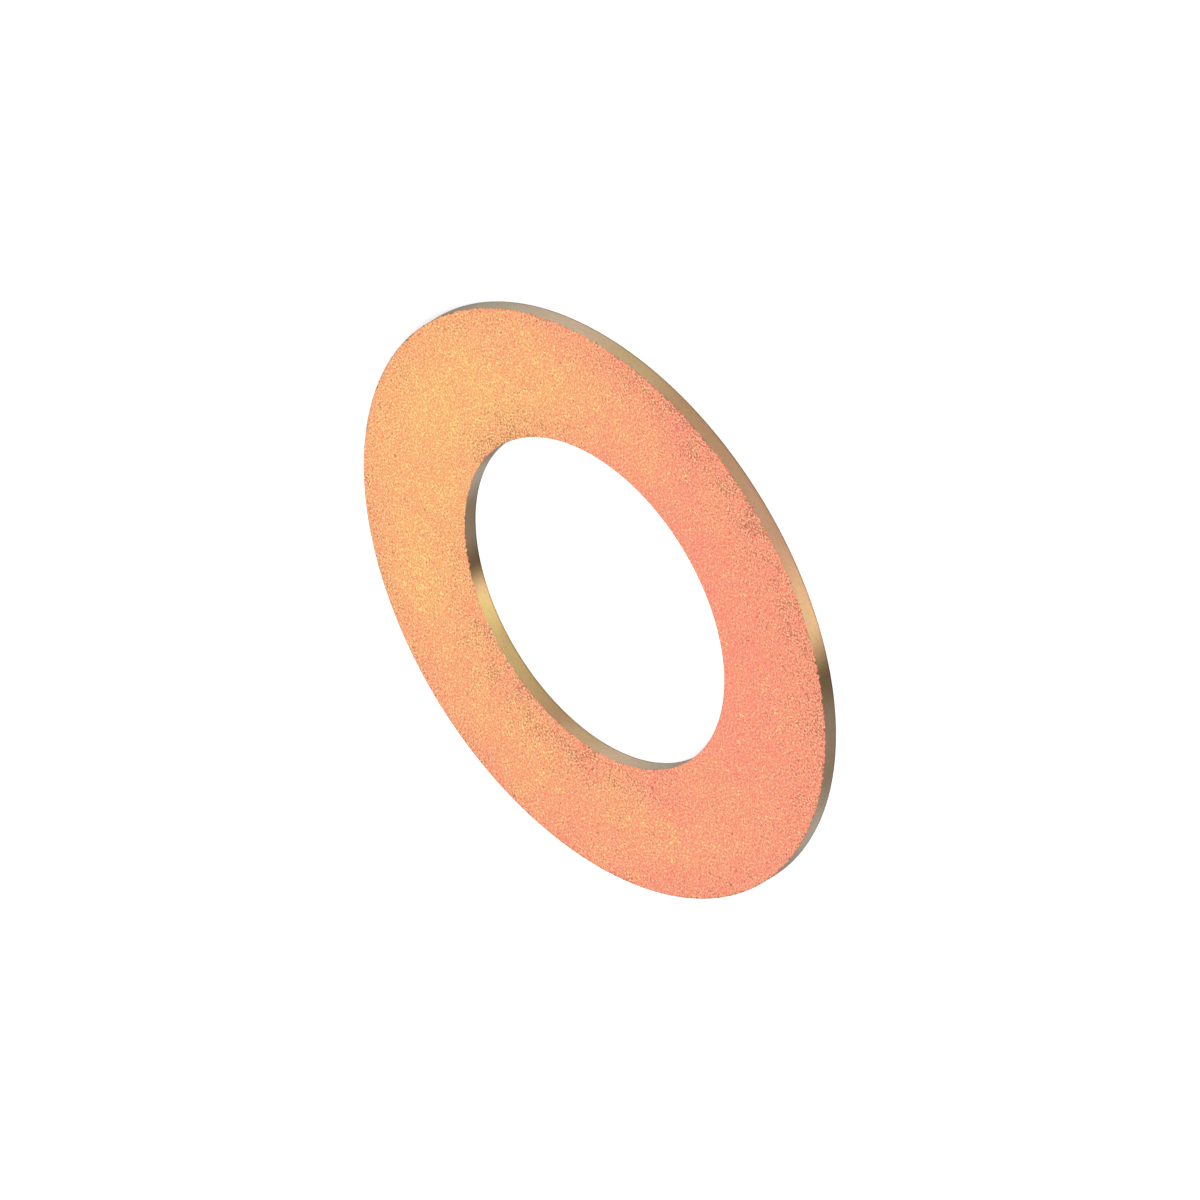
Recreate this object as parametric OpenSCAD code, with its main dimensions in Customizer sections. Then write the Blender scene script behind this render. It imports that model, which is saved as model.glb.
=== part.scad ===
// Thin flat washer, blanked and pierced in one stroke from cold-rolled steel strip,
// zinc plated and yellow chromated. It lies on its underside: the origin is the point
// on the bore axis at the underside, and +Z is the bore axis, up towards the upper face.
// Millimetres.

/* [Washer] */
// Outside diameter
outer_d = 50.8; // [42:0.1:80]
// Diameter of the hole
bore_d = 28.575; // [10:0.005:36]
// Thickness of the strip that the washer is cut from
thickness = 1.27; // [0.5:0.01:4]

/* [Cut edges] */
// Radius of the edges of the underside, where the tools drew the metal in before they cut
edge_roll = 0.08; // [0.02:0.01:0.2]
// Radius of the edges of the upper face, where tumbling took the burr off
edge_break = 0.03; // [0.01:0.01:0.1]

/* [Hidden] */

// Steps in a drawn circle: the turned shape, and the small arcs of its section
turn_steps = 180;
arc_steps = 48;

outer_r = outer_d / 2;
bore_r = bore_d / 2;

// A rectangle across the ring at one height, drawn in from both walls by the same amount
module band(inset, low, high) {
    translate([bore_r + inset, low])
        square([outer_r - bore_r - 2 * inset, high - low]);
}

// The two rounded edges of one face: a small circle inside each wall, at one height
module edge_pair(r, height) {
    for (x = [bore_r + r, outer_r - r])
        translate([x, height])
            circle(r, $fn = arc_steps);
}

// Half of the washer cut through its axis: straight sheared walls between the soft
// edges of the underside and the crisper edges of the upper face
module ring_section() {
    union() {
        band(0, edge_roll, thickness - edge_break);
        band(edge_roll, 0, edge_roll);
        band(edge_break, thickness - edge_break, thickness);
        edge_pair(edge_roll, edge_roll);
        edge_pair(edge_break, thickness - edge_break);
    }
}

// The washer: its section turned once round the bore axis
module washer() {
    color("sandybrown")
        rotate_extrude($fn = turn_steps)
            ring_section();
}

washer();
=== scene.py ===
# %% [markdown]
# # A yellow-chromated flat washer
#
# The part is a thin steel ring, stamped from strip and plated with zinc. A last dip in a
# chromate bath leaves a film a fraction of a micrometre thick, and that film gives the
# orange, pink and straw colours. Everything to draw is therefore skin deep: the shape is
# one revolved section, and the looks come from the finish on its faces and cut walls.

import math

import bpy
import numpy as np
from mathutils import Matrix, Vector


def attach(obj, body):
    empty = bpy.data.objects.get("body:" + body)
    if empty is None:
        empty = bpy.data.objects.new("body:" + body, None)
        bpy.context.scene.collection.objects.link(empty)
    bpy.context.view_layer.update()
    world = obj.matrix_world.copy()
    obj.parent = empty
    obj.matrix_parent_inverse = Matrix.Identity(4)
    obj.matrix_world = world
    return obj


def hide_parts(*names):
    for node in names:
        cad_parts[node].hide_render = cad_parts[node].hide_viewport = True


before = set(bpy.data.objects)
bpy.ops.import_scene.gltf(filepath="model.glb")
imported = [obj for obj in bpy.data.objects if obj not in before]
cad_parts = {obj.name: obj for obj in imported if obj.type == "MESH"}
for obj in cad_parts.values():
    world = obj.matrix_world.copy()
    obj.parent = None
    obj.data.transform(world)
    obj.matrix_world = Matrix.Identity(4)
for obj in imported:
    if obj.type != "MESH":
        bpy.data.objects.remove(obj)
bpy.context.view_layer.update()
scene = bpy.context.scene
MM = 0.001  # the frame is in metres, and the sizes below are in millimetres

# %% [markdown]
# ## The section
#
# A compound die blanks the rim and pierces the bore in one stroke, so both cut walls are
# straight and both edges of the underside are drawn round by about the same amount. The
# upper edges come out with a burr, which tumbling takes down to a much smaller radius.
# A plain ring with a Bevel modifier could stand for that, but its shading would bend a
# little on the flats. An outline drawn point by point has a radius for each face, and it
# carries its exact normals, so the flats shade dead flat up to the edges.

# %% Draw the cross-section
OUTER, BORE, THICK = 25.4, 14.2875, 1.27  # radii and thickness
ROLL, BREAK = 0.08, 0.03  # edge radii of the underside and of the upper face
EDGE_STEPS, WALL_STEPS, FACE_STEPS = 6, 6, 24  # round an edge, up a wall, across a face
UNDERSIDE, OUTER_WALL, UPPER, BORE_WALL = range(4)  # the zones of the outline
FACES = (UNDERSIDE, UPPER)


def quarter(r, z, radius, start):
    """Rows (r, z, normal r, normal z) of a quarter turn about the centre (r, z): the point is
    centre + radius * n, where n = (cos a, sin a) and a runs from start to start + 90 degrees."""
    a = np.radians(start + np.linspace(0, 90, EDGE_STEPS + 1))
    n = np.stack([np.cos(a), np.sin(a)], 1)
    return np.hstack([np.array([r, z]) + radius * n, n])


def straight(a, b, steps):
    """Rows a (1 - s) + b s from the end of one quarter turn to the start of the next, whose
    normals agree, with s from 0 to 1."""
    s = np.linspace(0, 1, steps + 1)[:, None]
    return a[-1] * (1 - s) + b[0] * s


low_in = quarter(BORE + ROLL, ROLL, ROLL, 180)
low_out = quarter(OUTER - ROLL, ROLL, ROLL, 270)
top_out = quarter(OUTER - BREAK, THICK - BREAK, BREAK, 0)
top_in = quarter(BORE + BREAK, THICK - BREAK, BREAK, 90)
outline = [
    (UNDERSIDE, straight(low_in, low_out, FACE_STEPS)),
    (OUTER_WALL, low_out[1:-1]),
    (OUTER_WALL, straight(low_out, top_out, WALL_STEPS)),
    (OUTER_WALL, top_out[1:-1]),
    (UPPER, straight(top_out, top_in, FACE_STEPS)),
    (BORE_WALL, top_in[1:-1]),
    (BORE_WALL, straight(top_in, low_in, WALL_STEPS)),
    (BORE_WALL, low_in[1:-1]),
]
section = np.concatenate([rows for _, rows in outline])
zone = np.concatenate([np.full(len(rows), name) for name, rows in outline])
print("section:", len(section), "points")

# %% [markdown]
# ## One turn about the bore
#
# A Screw modifier could turn the outline into the ring. Worked out as whole arrays, the
# same turn also gives the normals, and it leaves each point at a known place in a grid,
# which the map below relies on. The surface is p(t, s) = (r(s) cos t, r(s) sin t, z(s)),
# at 720 values of t, so that the rim stays round in a close view.

# %% Revolve it
TURNS, COUNT = 720, len(section)
t = np.arange(TURNS) * 2 * np.pi / TURNS


def revolve(r, z):
    """(r cos t, r sin t, z) for every t and every pair, a row for each."""
    rows = [np.outer(np.cos(t), r), np.outer(np.sin(t), r), np.tile(z, (TURNS, 1))]
    return np.stack(rows, 2).reshape(-1, 3)


i, j = (g.ravel() for g in np.meshgrid(range(TURNS), range(COUNT), indexing="ij"))
i_next, j_next = (i + 1) % TURNS, (j + 1) % COUNT
rings = [i * COUNT + j, i_next * COUNT + j, i_next * COUNT + j_next, i * COUNT + j_next]

mesh = bpy.data.meshes.new("plated_washer")
mesh.from_pydata(revolve(*section[:, :2].T) * MM, [], np.stack(rings, 1))
mesh.shade_smooth()
mesh.normals_split_custom_set_from_vertices(revolve(*section[:, 2:].T))
washer = bpy.data.objects.new("plated_washer", mesh)
scene.collection.objects.link(washer)
print("washer:", len(mesh.vertices), "points,", 2 * len(mesh.polygons), "triangles")

# %% [markdown]
# ## A map in strips
#
# A ring laid out flat leaves most of a square picture empty. Here each face is cut into
# two half rings, which are unrolled into straight strips, and the walls follow as narrow
# strips in three and two lengths. At mid-face, a baked texture of 1024 pixels keeps 16 of
# them to the millimetre along a strip and 19 across it, where two flat rings would leave
# about 11.

# %% Unroll the faces and walls
CUTS = np.array([2, 3, 2, 2])  # lengths that each zone is cut into
HEIGHT = np.array([0.205, 0.025, 0.205, 0.025])  # of one strip, as a share of the map
GAP = 0.006  # between strips, as a share of the map
ALONG, ACROSS = [0, 1, 1, 0], [0, 0, 1, 1]  # steps to the four corners of a face

# A segment runs from one point of the section to the next; one between a flat and an
# edge belongs to the wall that the edge turns into.
zone_next = np.roll(zone, -1)
segment = np.where(np.isin(zone, FACES) & (zone != zone_next), zone_next, zone)
steps = np.roll(section, -1, 0)[:, :2] - section[:, :2]
far = np.append(0, np.cumsum(np.linalg.norm(steps, axis=1)))
starts = np.array([far[:-1][segment == k].min() for k in range(len(CUTS))])
length = np.array([far[1:][segment == k].max() for k in range(len(CUTS))]) - starts

owner = segment[j]
turns_each = TURNS // CUTS[owner]
strip = i // turns_each
below = np.cumsum(np.append(0, CUTS * (HEIGHT + GAP)))[owner]
floor_v = GAP / 2 + below + strip * (HEIGHT + GAP)[owner]
u = (i[:, None] - (strip * turns_each)[:, None] + ALONG) / turns_each[:, None]
s = (far[j[:, None] + ACROSS] - starts[owner][:, None]) / length[owner][:, None]
uv = np.stack([GAP + u * (1 - 2 * GAP), floor_v[:, None] + s * HEIGHT[owner][:, None]], 2)
layer = mesh.uv_layers.new(name="OFBake")
layer.uv.foreach_set("vector", uv.astype(np.float32).ravel())
print("map runs from", uv.min((0, 1)).round(3), "to", uv.max((0, 1)).round(3))

# %% [markdown]
# ## The finish
#
# One bath coats the whole part, so it is one material. The steel under the film makes the
# difference: the faces are tumbled and a little rough, the cut walls are sheared smooth.
# A material is a tree of nodes, and one small function is enough to grow it: it adds a
# node, sets it up and links it to the ones before. Sizes in the patterns are written in
# millimetres, so that the scale of each can be held against the real thing.

# %% Start the material
def paint(code):
    """The linear colour of an sRGB hex code: c / 12.92 up to 0.04045, and
    ((c + 0.055) / 1.055) ^ 2.4 above."""
    c = np.array([int(code[k : k + 2], 16) / 255 for k in (1, 3, 5)])
    return (*np.where(c < 0.04045, c / 12.92, ((c + 0.055) / 1.055) ** 2.4), 1.0)


def add(tree, kind, inputs=(), **settings):
    """Adds a node, sets its settings and fills its inputs, in order or by name or number,
    each with a value or with another node's output. Returns its first live output."""
    node = tree.nodes.new("ShaderNode" + kind)
    for name, value in settings.items():
        setattr(node, name, value)
    filled = inputs if isinstance(inputs, dict) else dict(enumerate(inputs))
    for key, value in filled.items():
        if isinstance(value, bpy.types.NodeSocket):
            tree.links.new(value, node.inputs[key])
        else:
            node.inputs[key].default_value = value
    return next((out for out in node.outputs if out.enabled), None)


plate = bpy.data.materials.new("yellow-chromated zinc plate over tumbled steel")
plate.use_nodes = True
tree = plate.node_tree

place = add(tree, "TexCoord").node.outputs["Object"]
in_mm = add(tree, "VectorMath", (place, (1 / MM,) * 3), operation="MULTIPLY")
x, y, z = add(tree, "SeparateXYZ", (in_mm,)).node.outputs
in_plan = add(tree, "VectorMath", (in_mm, (1.0, 1.0, 0.0)), operation="MULTIPLY")
radius = add(tree, "VectorMath", (in_plan,), operation="LENGTH")
from_rim = add(tree, "Math", (OUTER, radius), operation="SUBTRACT")
from_bore = add(tree, "Math", (radius, BORE), operation="SUBTRACT")
print("material:", plate.name)

# %% [markdown]
# ## The grain of the steel
#
# Tumbling leaves the steel with a fine random grain, whose ridges show as short curly
# strokes a third of a millimetre apart. Plain noise draws round blots. A Gabor pattern
# with free directions draws strokes, and two of them, a coarse and a fine one, keep it
# from looking woven. Every pattern here swings about 0.5, so it is centred before it is
# weighed against the others.

# %% Lay the grain
RIDGE, HAIR = 0.33, 0.245  # mm from one stroke to the next
CONTRAST = 1.7  # how far each swings the grain, where 1 is a full ridge


def weighed(*pairs):
    """The sum of share * (pattern - 0.5) over the pairs (pattern, share)."""
    total = 0.0
    for pattern, share in pairs:
        centred = add(tree, "Math", (pattern, 0.5), operation="SUBTRACT")
        total = add(tree, "Math", (centred, share, total), operation="MULTIPLY_ADD")
    return total


CURLY = {"Vector": in_mm, "Frequency": 1.0, "Anisotropy": 0.0}
ridges = add(tree, "TexGabor", {**CURLY, "Scale": 1 / RIDGE}, gabor_type="2D")
hairs = add(tree, "TexGabor", {**CURLY, "Scale": 1 / HAIR}, gabor_type="2D")
grain = weighed((ridges, CONTRAST), (hairs, CONTRAST))
hollow = add(tree, "Math", (grain, -1.0), operation="MULTIPLY")
print("grain: strokes", RIDGE, "and", HAIR, "mm apart")

# %% [markdown]
# ## The drift of the film
#
# The film is clear and thin enough for interference colours: where it is a touch thicker
# the orange leans to salmon, and where it is thinner it leans to amber. The shader has a
# thin film of its own, but its colours turn with the angle of view, which a baked texture
# can't hold, so they are painted. The film drifts from one colour to the other across the
# ring, because the part hung at a slant as it drained, and it thins a little towards both
# ends of a line across the ring and away from the edges.

# %% Tint the faces
CLOUD = 6.0  # mm across a cloud in the film
SALMON, AMBER = paint("#fb9a7b"), paint("#fcb977")
THIN_SIDE, THIN_LINE = 36, 4  # degrees round the ring
# What moves the tone from salmon, at 0, to amber, at 1: the start and the share of each.
START, BY_SIDE, BY_LINE, BY_EDGES, BY_CLOUDS = 0.31, 0.45, 0.22, -0.25, 0.9

# A Mix node holds a pair of sockets for each kind of value, all called A and B, so its
# sockets go by number: its factor, then two plain numbers, or two colours.
FACTOR, NUMBER_A, NUMBER_B, COLOUR_A, COLOUR_B = 0, 2, 3, 6, 7
BLENDED = {"data_type": "RGBA"}
TINTED = {"data_type": "RGBA", "blend_type": "MULTIPLY"}


def toward(degrees):
    """cos(angle - degrees), with a point's angle about the bore: 1 on that side of the ring
    and -1 on the other."""
    a = math.radians(degrees)
    side = (math.cos(a), math.sin(a), 0.0)
    component = add(tree, "VectorMath", (in_mm, side), operation="DOT_PRODUCT")
    return add(tree, "Math", (component, radius), operation="DIVIDE")


NOISE = {"Vector": in_mm, "Detail": 3.0}
clouds = add(tree, "TexNoise", {**NOISE, "Scale": 1 / CLOUD, "Roughness": 0.55})
# A Map Range node takes a value, the two ends it runs between, and what they become,
# which is 0 and 1 where nothing is said. It stops at both ends.
across = add(tree, "MapRange", (radius, BORE, OUTER, -1.0, 1.0))
edgewards = add(tree, "Math", (across, across), operation="MULTIPLY")
along = toward(THIN_LINE)
endwards = add(tree, "Math", (along, along), operation="MULTIPLY")
drained = add(tree, "Math", (toward(THIN_SIDE), BY_SIDE, START), operation="MULTIPLY_ADD")
drained = add(tree, "Math", (endwards, BY_LINE, drained), operation="MULTIPLY_ADD")
drained = add(tree, "Math", (edgewards, BY_EDGES, drained), operation="MULTIPLY_ADD")
drift = add(tree, "Math", (weighed((clouds, BY_CLOUDS)), drained), operation="ADD")
tone = add(tree, "Mix", {FACTOR: drift, COLOUR_A: SALMON, COLOUR_B: AMBER}, **BLENDED)
print("film: clouded at", CLOUD, "mm, thinnest toward", THIN_SIDE, "degrees")

# %% [markdown]
# ## Mottling, painted highlights, painted shade and glints
#
# On top of its drift the film mottles at about a millimetre. It is clearest in red, so the
# mottling swings green most and blue a little, and leaves red alone. The ridges of the grain
# carry a painted highlight and the hollows a painted shade, and a few strokes where a ridge
# meets thin film carry a painted glint of straw yellow. The mottling is a tint, which
# multiplies the tone below as a clear film does, and so are the painted highlight and shade;
# the glints lie over them. Mixing in a flat colour instead would hide the drift under them.

# %% Mottle the film
CURL, MOTTLE = 0.53, 0.9  # mm across a feature of each pattern
THICKER, THINNER = (1.0, 0.72, 0.92, 1.0), (1.0, 1.26, 1.10, 1.0)
# tints of painted highlight on the ridges and painted shade in the hollows
RIDGE_HIGHLIGHT, HOLLOW_SHADE = (1.04, 2.20, 2.80, 1.0), (0.82, 0.61, 0.50, 1.0)
# the colour of the painted glints, on their own and on the ridges in the clusters
GLINT_STRAW = paint("#ffe694")
GLINTS = (0.30, 0.54)  # how strong a gleam starts one, and makes it full
AT_EDGES = -0.2  # share of the edges in a gleam, where the film is thicker

mottle = add(tree, "TexNoise", {**NOISE, "Scale": 1 / MOTTLE, "Roughness": 0.7})
curls = add(tree, "TexGabor", {**CURLY, "Scale": 1 / CURL}, gabor_type="2D")
thinness = add(tree, "Math", (weighed((mottle, 1.0), (curls, 0.75)), 0.5), operation="ADD")
swing = add(tree, "Mix", {FACTOR: thinness, COLOUR_A: THICKER, COLOUR_B: THINNER}, **BLENDED)
tone = add(tree, "Mix", {FACTOR: 1.0, COLOUR_A: tone, COLOUR_B: swing}, **TINTED)

# Painted highlight on the ridges and painted shade in the hollows.
lit = add(tree, "Mix", {FACTOR: grain, COLOUR_A: tone, COLOUR_B: RIDGE_HIGHLIGHT}, **TINTED)
lit = add(tree, "Mix", {FACTOR: hollow, COLOUR_A: lit, COLOUR_B: HOLLOW_SHADE}, **TINTED)
gleam = weighed((ridges, 1.0), (hairs, 0.2), (thinness, 1.5), (drift, 0.12))
gleam = add(tree, "Math", (edgewards, AT_EDGES, gleam), operation="MULTIPLY_ADD")
# Painted glints where a gleam is strong.
painted_glint = add(tree, "MapRange", (gleam, *GLINTS))
lit = add(tree, "Mix", {FACTOR: painted_glint, COLOUR_A: lit, COLOUR_B: GLINT_STRAW}, **BLENDED)
print("film: mottled at", MOTTLE, "mm")

# %% [markdown]
# ## Where the painted specks cluster
#
# Dark specks of painted shade gather beside the edges, most of all on one stretch of the rim
# and two of the bore. They come in clusters, with a thin scatter all along the rim. Specks
# placed one by one could follow them too, but here a single number at each point, how
# strong the painted shade is there, is enough: the next step sets it against the grain.

# %% Find the speckled stretches
PATCH = 1.7  # mm across a cluster
CLUSTERS = (0.18, 0.90)  # of the pattern, from a bare patch to a full one
SPECKED_STRETCHES = [  # edge, side, where toward() starts and peaks, mm where full and where gone, how strong
    (from_rim, 258, -0.25, 0.95, 0.5, 10.0, 1.28),
    (from_bore, 110, 0.00, 1.00, 1.0, 8.6, 1.24),
    (from_bore, 350, 0.75, 1.00, 0.3, 5.0, 1.37),
]
HEM, HEM_SHADE = 4.5, 0.87  # mm in from the rim, and how strong the painted shade is there all round

shade_reach = 0.0
for edge, side, start, peak, full, gone, strongest in SPECKED_STRETCHES:
    near = add(tree, "MapRange", (edge, full, gone, strongest, 0.0))
    on_side = add(tree, "MapRange", (toward(side), start, peak))
    both = add(tree, "Math", (near, on_side), operation="MULTIPLY")
    shade_reach = add(tree, "Math", (shade_reach, both), operation="MAXIMUM")
hem = add(tree, "MapRange", (from_rim, 0.0, HEM, HEM_SHADE, 0.0))
shade_reach = add(tree, "Math", (shade_reach, hem), operation="MAXIMUM")
patches = add(tree, "TexNoise", {"Vector": in_mm, "Scale": 1 / PATCH, "Roughness": 0.5})
clusters = add(tree, "MapRange", (patches, *CLUSTERS))
speck_shade = add(tree, "Math", (shade_reach, clusters), operation="MULTIPLY")
print("residue: clusters of", PATCH, "mm on", len(SPECKED_STRETCHES), "stretches")

# %% [markdown]
# ## Painted shade in specks, pits and along the edges
#
# In the clusters the hollows darken to specks of painted shade, and the ridges between
# carry a painted glint of straw. The hollows are already in the grain, so the clusters only
# decide how deep a hollow must be to hold a speck. A few dark pits, about a fifth of a
# millimetre across, are painted the same way anywhere, and more of them within the clusters'
# reach. A thin painted shade darkens the very edges of the faces.

# %% Leave specks in the hollows
SPECK_SHADE = (0.36, 0.41, 0.46, 1.0)  # a darkening tint: the specks are painted shade
DEEPENED = 1.05  # how much deeper a hollow counts where a cluster is full
SPECKS, SPECK = (0.60, 1.10), 0.60  # how deep one starts and is full, and how strong
PIT = 0.4  # mm from one bump of the pattern to the next
REACH_RAISE = 0.085  # how much higher a bump counts within the reach of the clusters
PITS, PITTED = (0.73, 0.79), 0.65  # how high a bump makes a pit, and how strong
EDGE_SHADE_WIDTH, EDGE_SHADE_LEFT = 0.07, 0.78  # mm wide, and what this painted shade on the edges leaves of the light

# On the ridges in the clusters, a painted glint of straw.
painted_ridge_glint = add(tree, "Math", (speck_shade, grain), operation="MULTIPLY")
lit = add(tree, "Mix", {FACTOR: painted_ridge_glint, COLOUR_A: lit, COLOUR_B: GLINT_STRAW}, **BLENDED)
# Deep hollows in the clusters take specks of painted shade, and so do the pits.
held = add(tree, "Math", (speck_shade, DEEPENED, hollow), operation="MULTIPLY_ADD")
specks = add(tree, "MapRange", (held, *SPECKS, 0.0, SPECK))
bumps = add(tree, "TexNoise", {**NOISE, "Scale": 1 / PIT, "Detail": 1.0, "Roughness": 0.6})
pitting = add(tree, "Math", (shade_reach, REACH_RAISE, bumps), operation="MULTIPLY_ADD")
pits = add(tree, "MapRange", (pitting, *PITS, 0.0, PITTED))
specks = add(tree, "Math", (specks, pits), operation="MAXIMUM")
face = add(tree, "Mix", {FACTOR: specks, COLOUR_A: lit, COLOUR_B: SPECK_SHADE}, **TINTED)
# A painted shade darkens the faces along their very edges.
nearest = add(tree, "Math", (from_rim, from_bore), operation="MINIMUM")
painted_edge_shade = add(tree, "MapRange", (nearest, 0.0, EDGE_SHADE_WIDTH, EDGE_SHADE_LEFT, 1.0))
face = add(tree, "VectorMath", {0: face, "Scale": painted_edge_shade}, operation="SCALE")
print("specks: in hollows and in pits")

# %% [markdown]
# ## Painted reflections on the cut walls
#
# A sheared wall is smoother than the faces, and its film is even from top to bottom. Round
# the ring its colour changes with the way the wall faces: straw, umber and pewter stretches
# that are painted reflections of the surroundings in the smooth metal. Noise would put those
# stretches anywhere, so a colour ramp round the ring sets each one down where it belongs.
# The same mottling as on the faces leans it to olive and to rose.

# %% Colour the walls
# Each colour is a painted reflection, what the smooth wall shows on that stretch.
PAINTED_WALL_REFLECTIONS = {
    "taupe": "#665f55",
    "pewter": "#a8a294",
    "pale straw": "#d4b284",
    "sage": "#9a8e7a",
    "umber": "#80705e",
    "deep umber": "#63523b",
    "bright straw": "#d0aa80",
    "rose tan": "#ac866c",
    "tan": "#a08062",
    "khaki": "#ab936e",
    "sand": "#b7a38d",
    "ash": "#ada693",
}
ROUND = [
    (0, "taupe"),
    (68, "pale straw"),
    (130, "sage"),
    (183, "taupe"),
    (198, "pewter"),
    (216, "umber"),
    (226, "umber"),
    (236, "deep umber"),
    (247, "bright straw"),
    (266, "rose tan"),
    (284, "tan"),
    (292, "tan"),
    (303, "khaki"),
    (322, "sand"),
    (342, "ash"),
    (360, "taupe"),
]
MIDDLE = (OUTER + BORE) / 2
LAG = 2 / 360  # of a turn, by which the painted reflection on the bore trails
OLIVE, ROSE = (0.95, 1.05, 0.90, 1.0), (1.05, 0.95, 1.08, 1.0)

on_bore = add(tree, "Math", (radius, MIDDLE), operation="LESS_THAN")
turned = add(tree, "Math", (y, x), operation="ARCTAN2")
way = add(tree, "Math", (turned, 2 * math.pi), operation="DIVIDE")
# The wall of the bore faces the other way, half a turn on.
way = add(tree, "Math", (on_bore, 0.5 - LAG, way), operation="MULTIPLY_ADD")
way = add(tree, "Math", (way,), operation="FRACT")
# The ramp paints the reflections round the wall.
tint = add(tree, "ValToRGB", (way,))
ramp = tint.node.color_ramp
ramp.interpolation = "EASE"
while len(ramp.elements) < len(ROUND):
    ramp.elements.new(1.0)
for stop, (degrees, name) in zip(ramp.elements, ROUND):
    stop.position, stop.color = degrees / 360, paint(PAINTED_WALL_REFLECTIONS[name])
lean = add(tree, "Mix", {FACTOR: thinness, COLOUR_A: ROSE, COLOUR_B: OLIVE}, **BLENDED)
wall = add(tree, "Mix", {FACTOR: 1.0, COLOUR_A: tint, COLOUR_B: lean}, **TINTED)
print("walls:", len(ROUND), "stops round the ring")

# %% [markdown]
# ## Streaks, flecks and painted shade on the walls
#
# On one stretch of the bore the painted reflection turns a greener straw. The shear left
# faint streaks along the wall and flecks a quarter of a millimetre wide. A thin dark line
# of painted shadow runs along the foot, with a fainter painted shade under the upper edge.
# The streaks are noise that is stretched along the wall and squeezed in height.

# %% Streak the walls
# a tint of painted reflection for one stretch of the bore
GREENER_REFLECTION = (1.07, 1.29, 0.93, 1.0)
GREEN_SIDE, GREEN_FROM = 88, 0.90  # degrees round the ring, and toward() where it starts
STREAK = (0.5, 0.5, 7.0)  # to the millimetre: each is 2 mm long and a seventh of one high
FLECK = 0.25  # mm across
DARKEST = 0.03  # mm from the flat face beside it that a line starts to fade
FOOT_SHADOW, BROW_SHADE = (0.52, 0.20), (0.75, 0.09)  # how dark each painted shade line is, and mm from the face where it is gone

stretch = add(tree, "MapRange", (toward(GREEN_SIDE), GREEN_FROM, 1.0))
stretch = add(tree, "Math", (stretch, on_bore), operation="MULTIPLY")
wall = add(tree, "Mix", {FACTOR: stretch, COLOUR_A: wall, COLOUR_B: GREENER_REFLECTION}, **TINTED)
drawn = add(tree, "VectorMath", (in_mm, STREAK), operation="MULTIPLY")
streaks = add(tree, "TexNoise", {**NOISE, "Vector": drawn, "Scale": 1.0, "Roughness": 0.6})
flecks = add(tree, "TexNoise", {**NOISE, "Scale": 1 / FLECK, "Detail": 2.0, "Roughness": 0.7})
woven = weighed((streaks, 0.28), (flecks, 0.26))
flecks_and_shade = add(tree, "Math", (woven, 1.0), operation="ADD")
above = add(tree, "Math", (THICK, z), operation="SUBTRACT")
# Painted shadow along the foot and painted shade under the upper edge.
for height, (dark, gone) in ((z, FOOT_SHADOW), (above, BROW_SHADE)):
    painted_line_shade = add(tree, "MapRange", (height, DARKEST, gone, dark, 1.0))
    flecks_and_shade = add(tree, "Math", (flecks_and_shade, painted_line_shade), operation="MULTIPLY")
wall = add(tree, "VectorMath", {0: wall, "Scale": flecks_and_shade}, operation="SCALE")
print("walls: flecks of", FLECK, "mm")

# %% [markdown]
# ## Where face meets wall
#
# The upper border runs along the broken edge. Two materials would meet in a line as clean
# as a drawing's, but on the real part the face's own grain and curls run out over the edge,
# so the border is ragged by about a tenth of a millimetre, and by half as much round the
# bore. The way down from the edge along the wall, less the way in from the edge on the
# face, is zero on the edge: the grain and the curls are added to that. Below, the wall's
# colour with its painted reflection runs right round the rolled edge.

# %% Join the two
RIM_BITES, BORE_BITES = 1.4, 0.7  # how far the pattern shifts each border
BORDER = (-0.02, 0.06)  # mm, from all face to all wall

round_roll = add(tree, "Math", (z, 2 * ROLL), operation="ADD")
down = add(tree, "Math", (round_roll, above), operation="MINIMUM")
past_edge = add(tree, "Math", (down, nearest), operation="SUBTRACT")
nibbled = weighed((ridges, 0.25), (hairs, 0.15), (curls, 0.4))
bites = add(tree, "Math", (on_bore, BORE_BITES - RIM_BITES, RIM_BITES), operation="MULTIPLY_ADD")
ragged = add(tree, "Math", (nibbled, bites, past_edge), operation="MULTIPLY_ADD")
on_wall = add(tree, "MapRange", (ragged, *BORDER))
colour = add(tree, "Mix", {FACTOR: on_wall, COLOUR_A: face, COLOUR_B: wall}, **BLENDED)
print("border: ragged by the grain and the curls")

# %% [markdown]
# ## Relief and gloss
#
# The grain stands a few micrometres high, which is far too fine for geometry, so a Bump
# node turns it into slopes. Ridges are rubbed smoother than hollows, the dark specks are
# nearly matt, and the sheared walls are the glossiest. Zinc stays a warm grey at a glancing
# angle, which the specular tint gives.

# %% Finish the surface
HIGH = 0.012  # mm from hollow to ridge, of which the bump shows two fifths
HOLLOW, RUBBED, SPECK_ROUGHNESS = 0.43, 0.30, 0.6  # how rough hollows, ridges and the dark specks are
SHEARED = (0.26, 0.36)  # how rough a wall is, from streak to streak

relief = {FACTOR: on_wall, NUMBER_A: grain, NUMBER_B: weighed((streaks, 0.5))}
bump = {"Strength": 0.4, "Distance": HIGH * MM, "Height": add(tree, "Mix", relief)}
rough = add(tree, "MapRange", (grain, -0.5, 0.5, HOLLOW, RUBBED))
rough = add(tree, "Mix", {FACTOR: specks, NUMBER_A: rough, NUMBER_B: SPECK_ROUGHNESS})
sheared = add(tree, "MapRange", (streaks, 0.3, 0.7, *SHEARED))
rough = add(tree, "Mix", {FACTOR: on_wall, NUMBER_A: rough, NUMBER_B: sheared})

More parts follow.
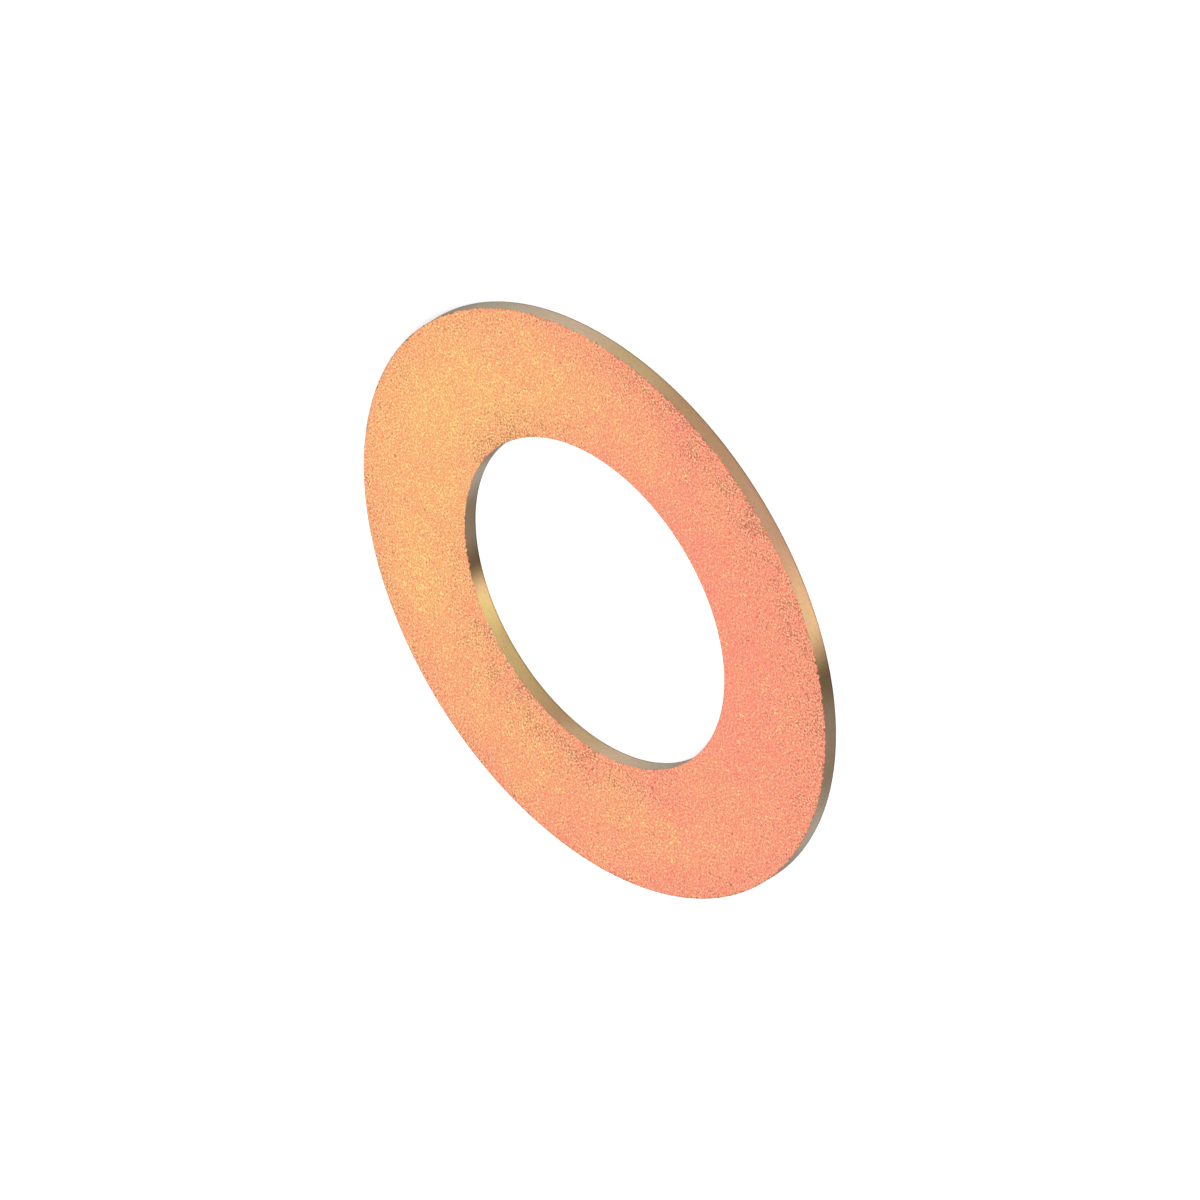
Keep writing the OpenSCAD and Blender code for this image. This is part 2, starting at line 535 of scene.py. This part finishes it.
shader = tree.nodes["Principled BSDF"]
tree.links.new(colour, shader.inputs["Base Color"])
tree.links.new(rough, shader.inputs["Roughness"])
tree.links.new(add(tree, "Bump", bump), shader.inputs["Normal"])
shader.inputs["Metallic"].default_value = 1.0
shader.inputs["Specular Tint"].default_value = (0.56, 0.52, 0.50, 1.0)
washer.data.materials.append(plate)
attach(washer, "root")
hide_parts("washer")
print("finish:", len(tree.nodes), "nodes")

# %% [markdown]
# ## The table
#
# The photo shows clean white all round, so the table is white card that is lifted to full
# white for the camera and for reflections. Brighter lamps would whiten it too, and bleach
# the washer. The card itself still takes light and shadow, which keeps the ring from
# floating.

# %% Lay the table
CARD = paint("#e6e6e6")
LIFT = 0.48  # what the lit card lacks to full white


def seen_directly(tree):
    """1 for rays from the camera, off metal or through glass, which should see plain white."""
    rays = add(tree, "LightPath").node.outputs
    strongest = rays["Is Camera Ray"]
    for name in ("Is Glossy Ray", "Is Transmission Ray"):
        strongest = add(tree, "Math", (strongest, rays[name]), operation="MAXIMUM")
    return strongest


card_mesh = bpy.data.meshes.new("table_top")
card_mesh.from_pydata([(-1, -1, 0), (1, -1, 0), (1, 1, 0), (-1, 1, 0)], [], [(0, 1, 2, 3)])
card = bpy.data.objects.new("table_top", card_mesh)
scene.collection.objects.link(card)
white = bpy.data.materials.new("matt white card")
white.use_nodes = True
paper = white.node_tree
paper.nodes.remove(paper.nodes["Principled BSDF"])
matt = add(paper, "BsdfDiffuse", {"Color": CARD})
lift = add(paper, "Math", (seen_directly(paper), LIFT), operation="MULTIPLY")
glow = add(paper, "Emission", {"Strength": lift})
both = add(paper, "AddShader", (matt, glow))
paper.links.new(both, paper.nodes["Material Output"].inputs["Surface"])
card_mesh.materials.append(white)
print("table:", card.name)

# %% [markdown]
# ## The light
#
# A metal shows what stands round it, and here that is an even white room. Its level drops
# for the light that falls on the table, so the soft lamps still model the ring. They stand
# on the camera's side, which puts the shadow of so thin a part mostly behind it.

# %% Light it
DIM = 0.35  # level of the room in the light that it gives off

world = bpy.data.worlds.new("white studio")
world.use_nodes = True
scene.world = world
sky = world.node_tree
level = add(sky, "MapRange", (seen_directly(sky), 0.0, 1.0, DIM, 1.0))
sky.nodes["Background"].inputs["Color"].default_value = (1.0, 1.0, 1.0, 1.0)
sky.links.new(level, sky.nodes["Background"].inputs["Strength"])

LAMPS = [  # name, place in metres, side in metres, watts
    ("key softbox", (-0.10, -0.42, 0.50), 0.5, 2.9),
    ("left softbox", (-0.50, 0.05, 0.40), 0.4, 1.0),
    ("right softbox", (0.50, 0.05, 0.40), 0.4, 0.8),
]
for name, spot, size, watts in LAMPS:
    lamp = bpy.data.lights.new(name, "AREA")
    lamp.shape, lamp.size, lamp.energy = "SQUARE", size, watts
    box = bpy.data.objects.new(name, lamp)
    box.location = spot
    box.rotation_euler = (-Vector(spot)).to_track_quat("-Z", "Y").to_euler()
    scene.collection.objects.link(box)
print("lamps:", [name for name, *_ in LAMPS])

# %% [markdown]
# ## The camera
#
# Parallel lines stay parallel in the photo, so the camera is orthographic. It looks down
# from the -Y side and is rolled until the ring stands aslant. Its axes are written out
# rather than found with a helper, which makes the roll plain to see.

# %% Place the camera
TILT, ROLLED = math.radians(34.45), math.radians(120.96)
FRAME, PIXELS_PER_MM = 1200, 12.845  # the photo's side and scale
AWAY = 0.5  # metres

right = Vector((1, 0, 0))
up = Vector((0, math.sin(TILT), math.cos(TILT)))
back = Vector((0, -math.cos(TILT), math.sin(TILT)))
camera = bpy.data.cameras.new("camera")
camera.type, camera.ortho_scale = "ORTHO", FRAME / PIXELS_PER_MM * MM
view = bpy.data.objects.new("camera", camera)
turned_right = right * math.cos(ROLLED) - up * math.sin(ROLLED)
turned_up = right * math.sin(ROLLED) + up * math.cos(ROLLED)
axes = Matrix((turned_right, turned_up, back)).transposed()
aim = Vector((0, 0, THICK / 2 * MM))
view.matrix_world = Matrix.Translation(aim + back * AWAY) @ axes.to_4x4()
scene.collection.objects.link(view)
scene.camera = view
scene.view_settings.view_transform = "Standard"
print("camera:", AWAY, "m back,", round(camera.ortho_scale / MM, 2), "mm across the picture")
